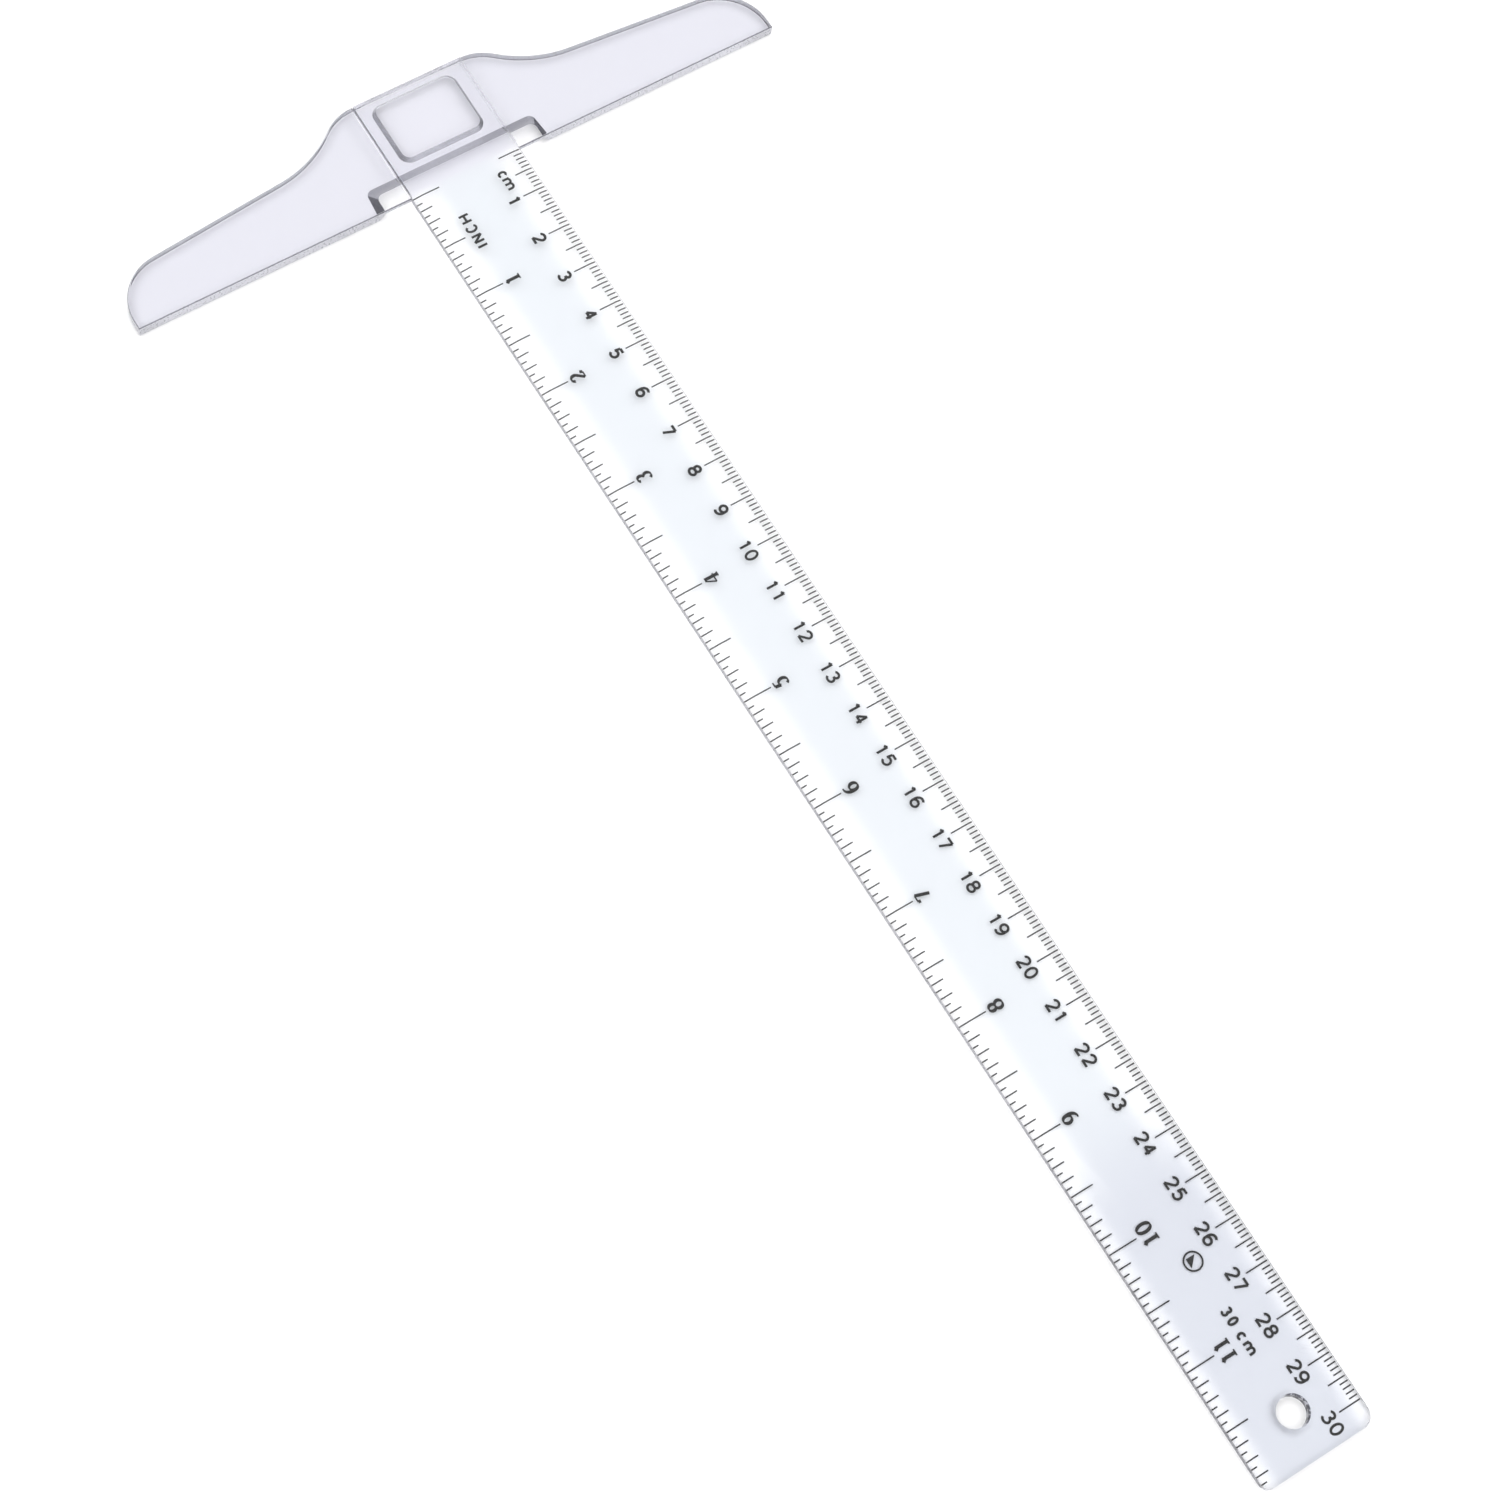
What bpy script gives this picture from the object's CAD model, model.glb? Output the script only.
from math import atan, cos, radians, sin

import bpy
from mathutils import Matrix, Vector


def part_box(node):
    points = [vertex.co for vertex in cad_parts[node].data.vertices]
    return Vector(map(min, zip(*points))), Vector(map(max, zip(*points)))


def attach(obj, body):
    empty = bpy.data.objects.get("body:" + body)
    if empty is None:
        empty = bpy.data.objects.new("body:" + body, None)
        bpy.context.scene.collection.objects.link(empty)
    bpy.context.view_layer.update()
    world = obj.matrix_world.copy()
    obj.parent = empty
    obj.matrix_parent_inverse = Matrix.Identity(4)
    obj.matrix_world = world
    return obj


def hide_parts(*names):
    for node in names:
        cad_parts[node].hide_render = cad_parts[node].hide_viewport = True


# A clear plastic T-square lying on a white table. Lengths are in metres, in the part's own frame:
# X along the blade from the head's working edge, Y across it, Z up.

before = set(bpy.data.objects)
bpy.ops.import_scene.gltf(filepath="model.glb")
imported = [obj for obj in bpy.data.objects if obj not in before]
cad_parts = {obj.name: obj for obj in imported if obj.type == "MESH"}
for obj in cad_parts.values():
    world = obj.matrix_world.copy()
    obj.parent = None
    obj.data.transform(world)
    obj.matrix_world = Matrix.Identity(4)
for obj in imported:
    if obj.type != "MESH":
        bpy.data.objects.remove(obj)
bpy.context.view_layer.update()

MM = 0.001
head_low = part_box("head")[0]
blade_low, blade_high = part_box("blade")
half_width = blade_high.y

# ---- camera: seen from high over the inch side of the free end ----
TARGET_ALONG = 0.4464              # as a share of the blade's free length
CAMERA_TARGET = Vector((TARGET_ALONG * blade_high.x, -16.86 * MM, 0.8 * MM))
CAMERA_AZIMUTH = -49.06            # degrees from +X towards +Y
CAMERA_ELEVATION = 67.53
CAMERA_ROLL = 17.96
CAMERA_DISTANCE = 0.64837
CAMERA_LENS = 80.56                # millimetres on the 36 mm sensor
CAMERA_CLIP = 10 * MM

# ---- clear plastic ----
# Pairs are the ends of a smooth change. A colour ending in GREY belongs to satin walls, TINT to faces.
PLASTIC_IOR = 1.49
ABSORPTION = ((0.1, 0.1, 0.2), 25)  # colour let through and strength, per metre
UNTINTED = (1.0, 1.0, 1.0)
HEAD_TINT = (0.841, 0.841, 0.875)
LAP_TINT = (0.843, 0.842, 0.878)
BLADE_TINT = (0.852, 0.871, 0.89)
END_TINT = (0.787, 0.802, 0.838)
LAP_FADE = (-1.5 * MM, 0)          # along the blade, where it leaves the head
END_FADE = (222 * MM, 250 * MM)    # along the blade, where the tint grows stronger
MIDDLE_FADE = (4.5 * MM, 11 * MM)  # across the blade, where the tint gives out
END_MIDDLE_FADE = 8 * MM           # the same near the free end, out to the edge
END_EDGE_TINT = 0.25
FACE_ROUGHNESS = 0.012
WALL_ROUGHNESS = 0.3
WALL_CLEARNESS = 0.48
WALL_UP = (0.82, 0.87)             # upward share of the normal: a moulded wall below, a face above
SLOPE_UP = (0.72, 0.77)            # a rounded arris below, a sloping wall above
UPRIGHT_UP = (0.08, 0.22)          # an upright wall below, a leaning one or an arris above
SLOPE_GREY = (0.70, 0.70, 0.75)
ARRIS_GREY = (0.13, 0.13, 0.16)
UPRIGHT_GREY = (0.80, 0.80, 0.85)
HIDDEN_WALL = 0.15                 # what is left of the satin grey on walls that touch each other
CHANNEL_WALL = (half_width - 0.05 * MM, half_width + 0.12 * MM)
CHANNEL_SOFTNESS = 0.02 * MM
# the webs over the relief are too thin to look tinted
WEB_START = (-4.6 * MM, -4.2 * MM)
WEB_SIDE = (18.6 * MM, 18.9 * MM)
WINDOW_FRONT = (-8.2 * MM, -7.8 * MM)
WINDOW_SIDE = (10.2 * MM, 10.6 * MM)
WINDOW_SHADE = (0.15, 0.55)        # how squarely a window wall faces away from the inch side
WINDOW_LIT_WALL = 0.5
FLOW_SCALE = 160
WEAR_SCALE = 2400
WEAR_BASE = 0.5                    # what the noise is added to before it multiplies the roughness
BUMP_STRENGTH = 0.15
BUMP_DEPTH = 0.02 * MM

# ---- cut edges of the blade, and its hang hole ----
CUT_EDGE = (0.9, 0.98)             # share of the normal that faces straight out of an edge
STREAK_SCALE = 700
STREAK_BAND = (0.35, 0.65)         # of the noise
STREAK_FAINTEST = 0.55
INCH_EDGE_GREY = (0.42, 0.42, 0.46)
INCH_EDGE_END_GREY = (0.2, 0.2, 0.23)
END_EDGE_GREY = (0.25, 0.25, 0.29)
END_EDGE_SHARE = 0.7
HOLE_FROM_END = 9.4 * MM
HOLE_RIM = (3.75 * MM, 3.85 * MM)  # radius to the outside of the hole's rounded rim
HOLE_SHADE = (-0.35, 0.15)         # the wall is dark where it faces the inch edge
SCORE_SCALE = 1500
SCORE_BAND = (0.48, 0.7)           # of the noise
SCORE_DARK = (0.03, 0.03, 0.04)
SCORE_LIGHT = (0.55, 0.55, 0.6)

# ---- cement ----
WINDOW_X = (-22.7 * MM, -8.3 * MM)
WINDOW_Y = (-9.35 * MM, 9.75 * MM)
FILM_GAP = 0.015 * MM
CEMENT_IOR = 1.06                  # against the thin skins of air left at each side
CEMENT_TINT = (0.985, 0.985, 0.995)
CEMENT_ROUGHNESS = 0.06
CEMENT_SCALE = 900
GRAIN_BAND = (0.3, 0.7)            # of the noise, in the cement and in the ink

# ---- printing ----
INCH = 25.4 * MM
INCHES = 12
CENTIMETRE = 10 * MM
CENTIMETRES = 30
LAST_NUMBER_SHIFT = 1.0 * MM
TWO_DIGIT_SHIFT = 0.27 * MM
CM_PITCH = 2.5 * MM
CM_DIGIT = 2.1 * MM
INCH_PITCH = 2.45 * MM
INCH_DIGIT = 2.25 * MM
BOLD_PEN = 0.56 * MM
FINE_PEN = 0.5 * MM
SERIF_THICK = 0.68 * MM
SERIF_THIN = 0.31 * MM
ARC_STEP = 7.5                     # degrees between the points along an arc
CLOSE = 0.001 * MM                 # a path is closed when its ends are this near
MITRE_LIMIT = 2                    # how far a pen's corner may reach, in widths of the pen
INK_DARK = (0.004, 0.004, 0.005)
INK_LIGHT = (0.02, 0.02, 0.024)
INK_ROUGHNESS = (0.42, 0.6)
INK_SCALE = 5000
LETTER_HEIGHT = {"cm_label": 2.6 * MM, "inch_label": 2.6 * MM, "size_label": 2.4 * MM}
# each letter's stretch along the blade, as shares of the CAD label's length
CM_LETTERS = [("c", 0, 0.33), ("m", 0.39, 1)]
INCH_LETTERS = [("H", -0.07, 0.19), ("C", 0.28, 0.5), ("N", 0.58, 0.82), ("I", 0.9, 0.98)]
SIZE_LETTERS = [("3", 0, 0.15), ("0", 0.21, 0.36), ("c", 0.52, 0.68), ("m", 0.73, 1.0)]

# ---- light ----
WORLD_TOP = 1.55
WORLD_HORIZON = 0.35
WORLD_RISE = 0.7                   # share of the way up at which the tent is at its brightest
BACKDROP = 1.0
LIGHT_BOUNCES = 32                 # blade, film and head are crossed twice over
FLOOR_SIDE = 4.0
FLOOR_WHITE = 0.96
FLOOR_ROUGHNESS = 0.9
FLOOR_GAP = 0.04 * MM              # room for the print under the blade


def make_camera():
    data = bpy.data.cameras.new("camera")
    data.lens = CAMERA_LENS
    data.clip_start = CAMERA_CLIP
    camera = bpy.data.objects.new("camera", data)
    azimuth, elevation = radians(CAMERA_AZIMUTH), radians(CAMERA_ELEVATION)
    back = Vector((
        cos(elevation) * cos(azimuth),
        cos(elevation) * sin(azimuth),
        sin(elevation),
    ))
    level_right = Vector((0, 0, 1)).cross(back).normalized()
    level_up = back.cross(level_right)
    roll = radians(CAMERA_ROLL)
    right = level_right * cos(roll) + level_up * sin(roll)
    up = back.cross(right)
    place = Matrix((right, up, back)).transposed().to_4x4()
    place.translation = CAMERA_TARGET + back * CAMERA_DISTANCE
    camera.matrix_world = place
    bpy.context.scene.collection.objects.link(camera)
    bpy.context.scene.camera = camera


def new_material(name):
    material = bpy.data.materials.new(name)
    material.use_nodes = True
    tree = material.node_tree
    return material, tree, tree.nodes["Principled BSDF"]


def node(tree, kind, **values):
    made = tree.nodes.new(kind)
    for name, value in values.items():
        setattr(made, name, value)
    return made


def maths(tree, operation, first, second):
    """A Math node; each operand is a socket or a number."""
    made = node(tree, "ShaderNodeMath", operation=operation)
    for socket, value in zip(made.inputs, (first, second)):
        if isinstance(value, (int, float)):
            socket.default_value = value
        else:
            tree.links.new(value, socket)
    return made.outputs["Value"]


def map_range(tree, value, low, high, to_low, to_high):
    made = node(tree, "ShaderNodeMapRange", interpolation_type="SMOOTHSTEP")
    tree.links.new(value, made.inputs["Value"])
    for name, number in (("From Min", low), ("From Max", high), ("To Min", to_low), ("To Max", to_high)):
        made.inputs[name].default_value = number
    return made.outputs["Result"]


def mix_colour(tree, factor, first, second):
    """Colours are sockets or plain triples."""
    made = node(tree, "ShaderNodeMix", data_type="RGBA")
    tree.links.new(factor, made.inputs["Factor"])
    # the colour sockets of this node follow its float and vector ones
    for socket, value in zip((made.inputs[6], made.inputs[7]), (first, second)):
        if isinstance(value, tuple):
            socket.default_value = (*value, 1)
        else:
            tree.links.new(value, socket)
    return made.outputs[2]


def noise(tree, where, scale, detail):
    made = node(tree, "ShaderNodeTexNoise")
    made.inputs["Scale"].default_value = scale
    made.inputs["Detail"].default_value = detail
    tree.links.new(where, made.inputs["Vector"])
    return made.outputs["Fac"]


def place_of(tree):
    return node(tree, "ShaderNodeTexCoord").outputs["Object"]


def product(tree, first, second):
    return maths(tree, "MULTIPLY", first, second)


def make_world():
    """A soft white tent of light, dimmer towards the horizon, in front of a white backdrop."""
    world = bpy.data.worlds.new("studio")
    world.use_nodes = True
    bpy.context.scene.world = world
    tree = world.node_tree
    tent = tree.nodes["Background"]
    tent.inputs["Color"].default_value = (1, 1, 1, 1)
    backdrop = node(tree, "ShaderNodeBackground")
    backdrop.inputs["Color"].default_value = (1, 1, 1, 1)
    backdrop.inputs["Strength"].default_value = BACKDROP
    upward = node(tree, "ShaderNodeSeparateXYZ")
    tree.links.new(node(tree, "ShaderNodeTexCoord").outputs["Generated"], upward.inputs["Vector"])
    light = map_range(tree, upward.outputs["Z"], 0, WORLD_RISE, WORLD_HORIZON, WORLD_TOP)
    tree.links.new(light, tent.inputs["Strength"])
    mix = node(tree, "ShaderNodeMixShader")
    tree.links.new(node(tree, "ShaderNodeLightPath").outputs["Is Camera Ray"], mix.inputs["Fac"])
    tree.links.new(tent.outputs["Background"], mix.inputs[1])
    tree.links.new(backdrop.outputs["Background"], mix.inputs[2])
    tree.links.new(mix.outputs["Shader"], tree.nodes["World Output"].inputs["Surface"])
    bpy.context.scene.view_settings.view_transform = "Standard"
    # light that reaches the table through clear plastic must not be blurred away
    cycles = bpy.context.scene.cycles
    cycles.blur_glossy = 0
    cycles.max_bounces = LIGHT_BOUNCES
    cycles.transmission_bounces = LIGHT_BOUNCES
    cycles.glossy_bounces = LIGHT_BOUNCES


def make_floor():
    """The table: it touches the foot of the head's working edge and the blade's free end."""
    mesh = bpy.data.meshes.new("floor")
    half = FLOOR_SIDE / 2
    corners = [(-half, -half, 0), (half, -half, 0), (half, half, 0), (-half, half, 0)]
    mesh.from_pydata(corners, [], [(0, 1, 2, 3)])
    floor = bpy.data.objects.new("floor", mesh)
    foot = head_low.z - FLOOR_GAP
    slope = atan((blade_low.z - FLOOR_GAP - foot) / blade_high.x)
    floor.rotation_euler = (0, -slope, 0)
    floor.location = (0, 0, foot)
    bpy.context.scene.collection.objects.link(floor)
    material, tree, shader = new_material("white_table")
    shader.inputs["Base Color"].default_value = (FLOOR_WHITE, FLOOR_WHITE, FLOOR_WHITE, 1)
    shader.inputs["Roughness"].default_value = FLOOR_ROUGHNESS
    shader.inputs["Specular IOR Level"].default_value = 0
    mesh.materials.append(material)


def clear_plastic(name):
    """Polished faces and satin grey walls. Returns the sockets that the two parts tint further."""
    material, tree, shader = new_material(name)
    place = place_of(tree)
    axes = node(tree, "ShaderNodeSeparateXYZ")
    tree.links.new(place, axes.inputs["Vector"])
    normal = node(tree, "ShaderNodeSeparateXYZ")
    tree.links.new(node(tree, "ShaderNodeNewGeometry").outputs["Normal"], normal.inputs["Vector"])
    facing_up = maths(tree, "ABSOLUTE", normal.outputs["Z"], 0)
    steepness = map_range(tree, facing_up, *WALL_UP, 1, 0)
    shader.inputs["IOR"].default_value = PLASTIC_IOR
    # flow marks of the moulding, and a finer wear on the polish
    flow = noise(tree, place, FLOW_SCALE, 2)
    wear = noise(tree, place, WEAR_SCALE, 4)
    rough = map_range(tree, steepness, 0, 1, FACE_ROUGHNESS, WALL_ROUGHNESS)
    tree.links.new(product(tree, rough, maths(tree, "ADD", wear, WEAR_BASE)), shader.inputs["Roughness"])
    bump = node(tree, "ShaderNodeBump")
    bump.inputs["Strength"].default_value = BUMP_STRENGTH
    bump.inputs["Distance"].default_value = BUMP_DEPTH
    tree.links.new(flow, bump.inputs["Height"])
    tree.links.new(bump.outputs["Normal"], shader.inputs["Normal"])
    volume = node(tree, "ShaderNodeVolumeAbsorption")
    absorbed, density = ABSORPTION
    volume.inputs["Color"].default_value = (*absorbed, 1)
    volume.inputs["Density"].default_value = density
    tree.links.new(volume.outputs["Volume"], tree.nodes["Material Output"].inputs["Volume"])
    leaning = map_range(tree, facing_up, *UPRIGHT_UP, 0, 1)
    wall = mix_colour(tree, leaning, UPRIGHT_GREY, ARRIS_GREY)
    wall = mix_colour(tree, map_range(tree, facing_up, *SLOPE_UP, 0, 1), wall, SLOPE_GREY)
    return material, tree, shader, axes.outputs, normal.outputs, steepness, wall


def finish_plastic(tree, shader, faces, wall, steepness):
    tree.links.new(mix_colour(tree, steepness, faces, wall), shader.inputs["Base Color"])
    clearness = map_range(tree, steepness, 0, 1, 1, WALL_CLEARNESS)
    tree.links.new(clearness, shader.inputs["Transmission Weight"])


def head_plastic():
    """The wings are tinted; the blade covers the middle, and hides the walls of its channel."""
    material, tree, shader, place, normal, steepness, wall = clear_plastic("clear_head")
    across = maths(tree, "ABSOLUTE", place["Y"], 0)
    wing = map_range(tree, across, *CHANNEL_WALL, 0, 1)
    low, high = CHANNEL_WALL
    inside = map_range(tree, across, low - CHANNEL_SOFTNESS, low, 0, 1)
    channel_wall = product(tree, inside, map_range(tree, across, high, high + CHANNEL_SOFTNESS, 1, 0))
    steepness = product(tree, steepness, map_range(tree, channel_wall, 0, 1, 1, HIDDEN_WALL))
    over_relief = map_range(tree, across, *WEB_SIDE, 1, 0)
    web = product(tree, map_range(tree, place["X"], *WEB_START, 0, 1), over_relief)
    tinted = product(tree, wing, map_range(tree, web, 0, 1, 1, 0))
    # round the window, only the wall on the inch side leans enough to go really dark
    behind_front = map_range(tree, place["X"], *WINDOW_FRONT, 1, 0)
    by_window = product(tree, behind_front, map_range(tree, across, *WINDOW_SIDE, 1, 0))
    lit = product(tree, by_window, map_range(tree, normal["Y"], *WINDOW_SHADE, 1, 0))
    steepness = product(tree, steepness, map_range(tree, lit, 0, 1, 1, WINDOW_LIT_WALL))
    finish_plastic(tree, shader, mix_colour(tree, tinted, UNTINTED, HEAD_TINT), wall, steepness)
    return material


def hole_wall(tree, place, normal):
    """How far a point is part of the hole's dark and light sides, and the colour of its scored wall."""
    flat = node(tree, "ShaderNodeCombineXYZ")
    tree.links.new(place["X"], flat.inputs["X"])
    tree.links.new(place["Y"], flat.inputs["Y"])
    from_hole = node(tree, "ShaderNodeVectorMath", operation="DISTANCE")
    tree.links.new(flat.outputs["Vector"], from_hole.inputs[0])
    from_hole.inputs[1].default_value = (blade_high.x - HOLE_FROM_END, 0, 0)
    rim = map_range(tree, from_hole.outputs["Value"], *HOLE_RIM, 1, 0)
    dark_side = product(tree, rim, map_range(tree, normal["Y"], *HOLE_SHADE, 1, 0))
    light_side = product(tree, rim, map_range(tree, normal["Y"], *HOLE_SHADE, 0, 1))
    scores = map_range(tree, noise(tree, place_of(tree), SCORE_SCALE, 2), *SCORE_BAND, 0, 1)
    return dark_side, light_side, mix_colour(tree, scores, SCORE_DARK, SCORE_LIGHT)


def blade_plastic():
    """Tinted like the head where it laps it, faint along the middle, and clear by the scales."""
    material, tree, shader, place, normal, steepness, wall = clear_plastic("clear_blade")
    along = place["X"]
    across = maths(tree, "ABSOLUTE", place["Y"], 0)
    lapped = map_range(tree, along, *LAP_FADE, 1, 0)
    free_end = map_range(tree, along, *END_FADE, 0, 1)
    middle = map_range(tree, across, *MIDDLE_FADE, 1, 0)
    end_middle = map_range(tree, across, END_MIDDLE_FADE, half_width, 1, END_EDGE_TINT)
    middle = maths(tree, "MAXIMUM", middle, product(tree, end_middle, free_end))
    faces = mix_colour(tree, free_end, BLADE_TINT, END_TINT)
    faces = mix_colour(tree, middle, UNTINTED, faces)
    faces = mix_colour(tree, lapped, faces, LAP_TINT)
    # the cut edges are rough and pick up dirt, the inch edge most of all
    grime = noise(tree, place_of(tree), STREAK_SCALE, 3)
    streaks = map_range(tree, grime, *STREAK_BAND, STREAK_FAINTEST, 1)
    outward, straight_out = CUT_EDGE
    inch_edge = map_range(tree, normal["Y"], -straight_out, -outward, 1, 0)
    inch_grey = mix_colour(tree, free_end, INCH_EDGE_GREY, INCH_EDGE_END_GREY)
    wall = mix_colour(tree, product(tree, inch_edge, streaks), wall, inch_grey)
    end_edge = map_range(tree, normal["X"], outward, straight_out, 0, END_EDGE_SHARE)
    wall = mix_colour(tree, product(tree, end_edge, streaks), wall, END_EDGE_GREY)
    dark_side, light_side, scored = hole_wall(tree, place, normal)
    wall = mix_colour(tree, dark_side, wall, scored)
    steepness = product(tree, steepness, map_range(tree, along, *LAP_FADE, HIDDEN_WALL, 1))
    steepness = product(tree, steepness, map_range(tree, light_side, 0, 1, 1, HIDDEN_WALL))
    finish_plastic(tree, shader, faces, wall, steepness)
    return material


def cement_material():
    """Dried cement: nearly clear, with a trace of unevenness."""
    material, tree, shader = new_material("dried_cement")
    uneven = noise(tree, place_of(tree), CEMENT_SCALE, 3)
    roughness = map_range(tree, uneven, *GRAIN_BAND, 0, CEMENT_ROUGHNESS)
    tree.links.new(roughness, shader.inputs["Roughness"])
    tree.links.new(mix_colour(tree, uneven, UNTINTED, CEMENT_TINT), shader.inputs["Base Color"])
    shader.inputs["Transmission Weight"].default_value = 1
    shader.inputs["IOR"].default_value = CEMENT_IOR
    return material


def black_ink():
    """Screen print: dense, slightly uneven in tone and gloss."""
    material, tree, shader = new_material("black_ink")
    grain = noise(tree, place_of(tree), INK_SCALE, 3)
    tree.links.new(mix_colour(tree, grain, INK_DARK, INK_LIGHT), shader.inputs["Base Color"])
    tree.links.new(map_range(tree, grain, *GRAIN_BAND, *INK_ROUGHNESS), shader.inputs["Roughness"])
    return material


def assign(name, material):
    """Give a CAD node its material."""
    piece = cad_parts[name]
    piece.data.materials.clear()
    piece.data.materials.append(material)


def new_piece(name, corners, faces, material, replaced, slot):
    """A mesh of this scene's own, in place of a CAD node."""
    mesh = bpy.data.meshes.new(name)
    mesh.from_pydata(corners, [], faces)
    mesh.validate()
    mesh.materials.append(material)
    piece = bpy.data.objects.new(name, mesh)
    bpy.context.scene.collection.objects.link(piece)
    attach(piece, "root")
    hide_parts(replaced)


# ---- numerals and letters ----
# Each character is a list of pen paths on a grid one wide and one high. A path is made of points
# (x, y) and of arcs (centre x, centre y, radius x, radius y, from, to) in degrees. A path that
# begins with HAIRLINE is thin whichever way it runs.
HAIRLINE = "hairline"
PLAIN = {
    "0": [[(0.5, 0.5, 0.5, 0.5, 0, 360)]],
    "1": [[(0.24, 0.8), (0.6, 1), (0.6, 0)]],
    "2": [[(0.5, 0.72, 0.48, 0.28, 170, -38), (0.02, 0)], [(0.02, 0), (1, 0)]],
    "3": [[(0.46, 0.77, 0.42, 0.23, 155, -90)], [(0.46, 0.27, 0.5, 0.27, 90, -155)]],
    "4": [[(0.74, 0), (0.74, 1), (0, 0.3), (1, 0.3)]],
    "5": [[(0.92, 1), (0.2, 1), (0.1, 0.5)], [(0.48, 0.32, 0.5, 0.33, 145, -150)]],
    "6": [[(0.62, 0.52, 0.6, 0.48, 55, 180), (0.02, 0.3)], [(0.5, 0.3, 0.48, 0.3, 0, 360)]],
    "7": [[(0, 1), (1, 1), (0.36, 0)]],
    "8": [[(0.5, 0.76, 0.42, 0.24, 0, 360)], [(0.5, 0.27, 0.5, 0.27, 0, 360)]],
    "9": [[(0.38, 0.48, 0.6, 0.48, -125, 0), (0.98, 0.7)], [(0.5, 0.7, 0.48, 0.3, 0, 360)]],
    "c": [[(0.5, 0.35, 0.5, 0.35, 45, 315)]],
    "m": [
        [(0, 0), (0, 0.7)],
        [(0.25, 0.42, 0.25, 0.28, 180, 0), (0.5, 0)],
        [(0.75, 0.42, 0.25, 0.28, 180, 0), (1, 0)],
    ],
    "I": [[(0.5, 0), (0.5, 1)]],
    "N": [[(0, 0), (0, 1), (1, 0), (1, 1)]],
    "C": [[(0.55, 0.5, 0.55, 0.5, 42, 318)]],
    "H": [[(0, 0), (0, 1)], [(1, 0), (1, 1)], [(0, 0.5), (1, 0.5)]],
}
SERIF = {
    "0": PLAIN["0"],
    "1": [[(0.16, 0.84), (0.5, 1)], [(0.5, 0.96), (0.5, 0)], [(0.1, 0), (0.9, 0)]],
    "2": [[(0.45, 0.72, 0.42, 0.28, 165, -30), (0.04, 0.05)], [(0.04, 0.02), (0.86, 0.02), (0.98, 0.22)]],
    "3": [[(0.44, 0.77, 0.38, 0.23, 155, -90)], [(0.42, 0.27, 0.46, 0.27, 90, -150)]],
    "4": [
        [(0.72, 0), (0.72, 1)],
        [HAIRLINE, (0.5, 1), (-0.15, 0.3)],
        [(-0.15, 0.3), (1.1, 0.3)],
        [(0.42, 0), (1.02, 0)],
    ],
    "5": [[(0.88, 1), (0.24, 1), (0.12, 0.56)], [(0.42, 0.32, 0.48, 0.33, 130, -145)]],
    "6": [[(0.72, 0.5, 0.7, 0.5, 78, 180), (0.03, 0.3)], [(0.5, 0.3, 0.46, 0.3, 0, 360)]],
    "7": [[(0.04, 0.78), (0.08, 0.97), (0.96, 0.97)], [(0.96, 0.97), (0.4, 0)]],
    "8": PLAIN["8"],
    "9": [[(0.28, 0.5, 0.7, 0.5, -102, 0), (0.97, 0.7)], [(0.5, 0.7, 0.46, 0.3, 0, 360)]],
}


def path_points(path):
    """The points along a path, its arcs cut into short chords."""
    points = []
    for item in path:
        if len(item) == 2:
            points.append(Vector(item))
            continue
        x, y, radius_x, radius_y, start, stop = item
        count = max(2, round(abs(stop - start) / ARC_STEP))
        for index in range(count + 1):
            turn = radians(start + (stop - start) * index / count)
            points.append(Vector((x + radius_x * cos(turn), y + radius_y * sin(turn))))
    return points


def pen_width(direction, thick, thin):
    """A flat pen: full width on upright strokes, thin on level ones."""
    return thin + (thick - thin) * abs(direction.y)


def ribbon(loops, points, thick, thin, low, high):
    """Add one pen path: a closed band whose width follows the direction of the stroke."""
    closed = (points[0] - points[-1]).length < CLOSE
    if closed:
        points = points[:-1]
    count = len(points)
    left, right = [], []
    for index, point in enumerate(points):
        before = points[index - 1] if closed or index else point
        after = points[(index + 1) % count] if closed or index < count - 1 else point
        direction = (after - before).normalized()
        entering = (point - before).normalized() if before != point else direction
        spread = min(MITRE_LIMIT, 1 / max(entering.dot(direction), 1 / MITRE_LIMIT))
        half = pen_width(direction, thick, thin) / 2 * spread
        side = Vector((-direction.y, direction.x)) * half
        left.append(point + side)
        right.append(point - side)
    corners, faces = loops
    first = len(corners)
    for z in (low, high):
        corners += [(x, y, z) for x, y in left]
        corners += [(x, y, z) for x, y in right]
    low_left, low_right, high_left, high_right = (first + count * level for level in range(4))
    for index in range(count if closed else count - 1):
        after = (index + 1) % count
        faces.append([high_right + index, high_right + after, high_left + after, high_left + index])
        faces.append([low_left + index, low_left + after, low_right + after, low_right + index])
        faces.append([high_left + index, high_left + after, low_left + after, low_left + index])
        faces.append([low_right + index, low_right + after, high_right + after, high_right + index])
    if not closed:
        last = count - 1
        faces.append([low_left, low_right, high_right, high_left])
        faces.append([high_left + last, high_right + last, low_right + last, low_left + last])


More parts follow.
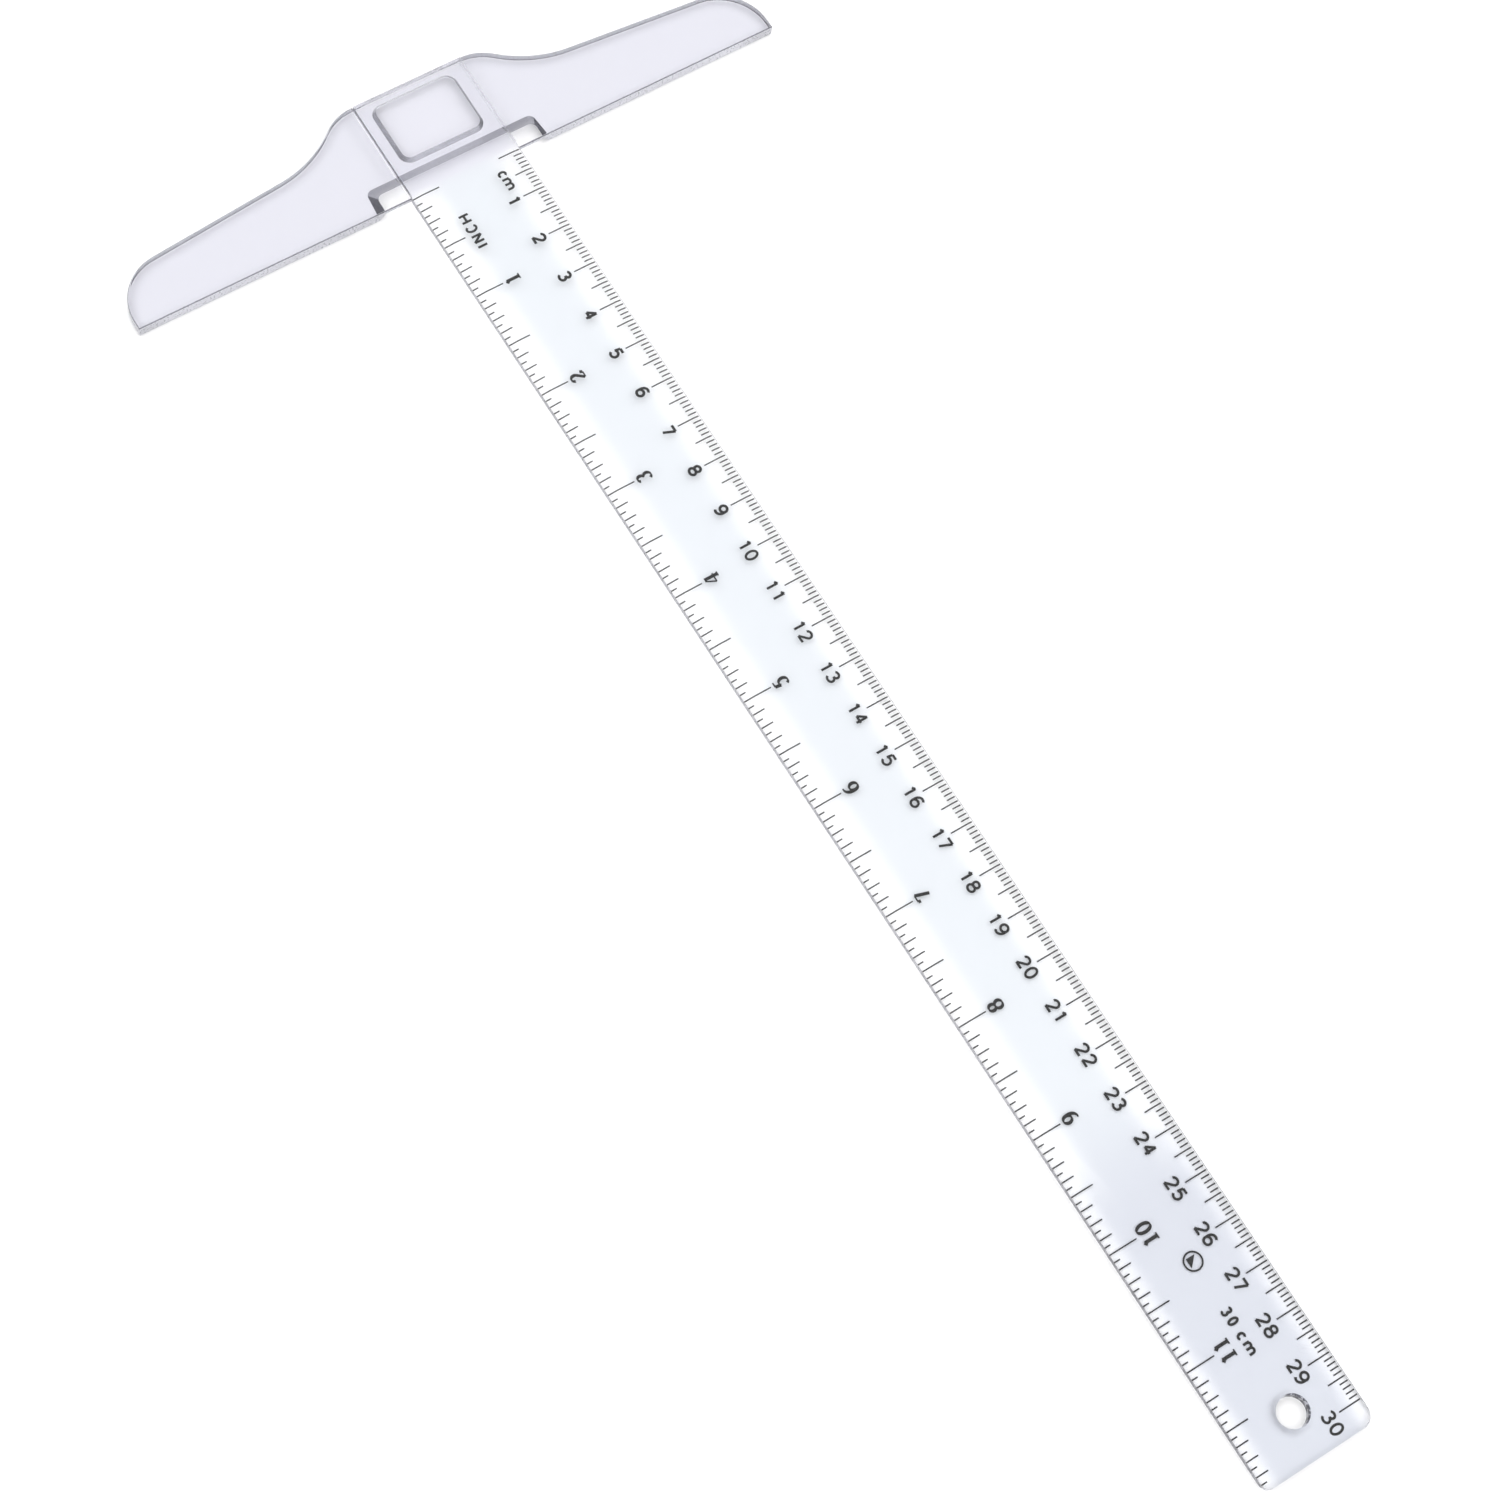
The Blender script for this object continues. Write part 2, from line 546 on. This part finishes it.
def draw(loops, shape, box, turned, thick, thin, low, high):
    """Draw a character's paths to fill a box (x low, x high, y low, y high), pen included."""
    x_low, x_high, y_low, y_high = box
    wide = x_high - x_low - thick
    tall = y_high - y_low - thin
    middle = Vector(((x_low + x_high) / 2, (y_low + y_high) / 2))
    for path in shape:
        pen = thin if path[0] == HAIRLINE else thick
        path = [item for item in path if item != HAIRLINE]
        placed = []
        for point in path_points(path):
            offset = Vector(((point.x - 0.5) * wide, (point.y - 0.5) * tall))
            placed.append(middle - offset if turned else middle + offset)
        # straight runs are drawn one by one, so that sharp corners stay sharp
        if all(len(item) == 2 for item in path):
            for start, stop in zip(placed, placed[1:]):
                ribbon(loops, [start, stop], pen, thin, low, high)
        else:
            ribbon(loops, placed, pen, thin, low, high)


def printed(name, characters, turned=False):
    """A piece of printing in place of a CAD node, on the same band of the blade's underside."""
    low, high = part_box(name)
    loops = ([], [])
    for shape, x_low, x_high, y_low, y_high, thick, thin in characters:
        draw(loops, shape, (x_low, x_high, y_low, y_high), turned, thick, thin, low.z, high.z)
    new_piece(name + "_print", *loops, ink, name, "black_ink")


def number_boxes(text, middle, pitch, wide, y_low, y_high, alphabet, thick, thin, turned=False):
    """The box of each digit of a number, about its middle."""
    boxes = []
    for index, digit in enumerate(reversed(text) if turned else text):
        x = middle + (index - (len(text) - 1) / 2) * pitch
        boxes.append((alphabet[digit], x - wide / 2, x + wide / 2, y_low, y_high, thick, thin))
    return boxes


def centimetre_numbers():
    low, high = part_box("cm_numerals")
    boxes = []
    for number in range(1, CENTIMETRES + 1):
        text = str(number)
        x = number * CENTIMETRE + (LAST_NUMBER_SHIFT if number == CENTIMETRES else 0)
        pen = BOLD_PEN if len(text) == 1 else FINE_PEN
        boxes += number_boxes(text, x, CM_PITCH, CM_DIGIT, low.y, high.y, PLAIN, pen, pen)
    printed("cm_numerals", boxes)


def inch_numbers():
    low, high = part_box("inch_numerals")
    boxes = []
    for number in range(1, INCHES):
        text = str(number)
        x = number * INCH + (TWO_DIGIT_SHIFT if len(text) > 1 else 0)
        boxes += number_boxes(
            text, x, INCH_PITCH, INCH_DIGIT, low.y, high.y, SERIF, SERIF_THICK, SERIF_THIN, True
        )
    printed("inch_numerals", boxes, turned=True)


def label(name, letters, turned=False):
    """Letters, each with its own stretch along the blade, as shares of the CAD label's length."""
    low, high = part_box(name)
    length = high.x - low.x
    boxes = []
    for letter, start, stop in letters:
        x_low, x_high = low.x + start * length, low.x + stop * length
        boxes.append((PLAIN[letter], x_low, x_high, low.y, low.y + LETTER_HEIGHT[name], FINE_PEN, FINE_PEN))
    printed(name, boxes, turned)


def cement_piece():
    """The film round the window, a hair clear of the blade above and the head below it."""
    low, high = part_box("cement_film")
    x_low, x_high = WINDOW_X
    y_low, y_high = WINDOW_Y
    outer = [(low.x, low.y), (high.x, low.y), (high.x, high.y), (low.x, high.y)]
    inner = [(x_low, y_low), (x_high, y_low), (x_high, y_high), (x_low, y_high)]
    levels = (low.z + FILM_GAP, high.z - FILM_GAP)
    corners = [(x, y, z) for z in levels for x, y in outer + inner]
    sides = len(outer)
    # corners run: outer and inner rectangle of the lower level, then of the upper one
    low_inner, high_outer, high_inner = (sides * ring for ring in (1, 2, 3))
    faces = []
    for index in range(sides):
        after = (index + 1) % sides
        faces.append([index, low_inner + index, low_inner + after, after])
        faces.append([high_outer + index, high_outer + after, high_inner + after, high_inner + index])
        faces.append([index, after, high_outer + after, high_outer + index])
        faces.append([low_inner + after, low_inner + index, high_inner + index, high_inner + after])
    new_piece("cement", corners, faces, cement_material(), "cement_film", "cement")


make_camera()
make_world()
make_floor()
ink = black_ink()
assign("head", head_plastic())
assign("blade", blade_plastic())
for name in ("cm_graduations", "inch_graduations", "plain_mark"):
    assign(name, ink)
centimetre_numbers()
inch_numbers()
label("cm_label", CM_LETTERS)
label("inch_label", INCH_LETTERS, turned=True)
label("size_label", SIZE_LETTERS)
cement_piece()
